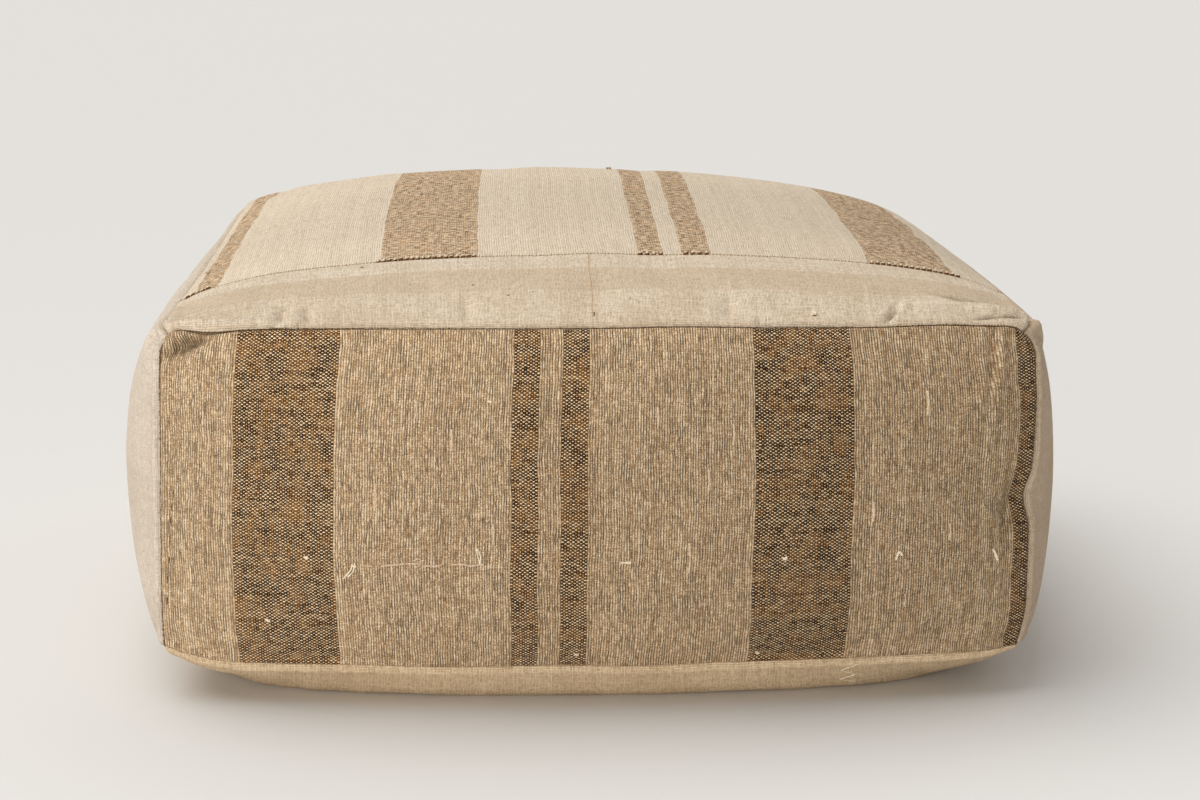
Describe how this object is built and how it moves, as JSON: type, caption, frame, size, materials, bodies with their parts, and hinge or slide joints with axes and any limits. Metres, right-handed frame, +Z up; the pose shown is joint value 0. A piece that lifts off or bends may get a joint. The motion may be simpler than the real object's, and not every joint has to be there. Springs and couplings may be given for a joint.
{
  "type": "cube pouf stool",
  "caption": "Low square floor pouf: a filled cushion in sewn panels of old hand-woven cloth, with brown stripes on its top and front and plain linen at its sides and underside.",
  "frame": {"origin": "on the floor, under the middle of the pouf's outline", "axes": "+X to the right of the striped front, +Y from the front to the back, +Z up"},
  "size_m": [0.6994, 0.6862, 0.32],
  "materials": {
    "top_stripe_cloth": "pale cream hand-woven hemp and cotton with brown stripes, matt",
    "strip_linen": "plain cream linen with a darker beige band, matt",
    "front_stripe_cloth": "coarse beige hand-woven hemp with dark brown stripes, matt",
    "side_linen": "plain linen, matt",
    "bottom_linen": "plain beige linen, matt"
  },
  "bodies": {
    "root": {"filled_body": "bottom_linen", "top_panel": "top_stripe_cloth", "top_front_strip": "strip_linen", "front_panel": "front_stripe_cloth", "back_panel": "front_stripe_cloth", "left_panel": "side_linen", "right_panel": "side_linen"}
  },
  "joints": []
}
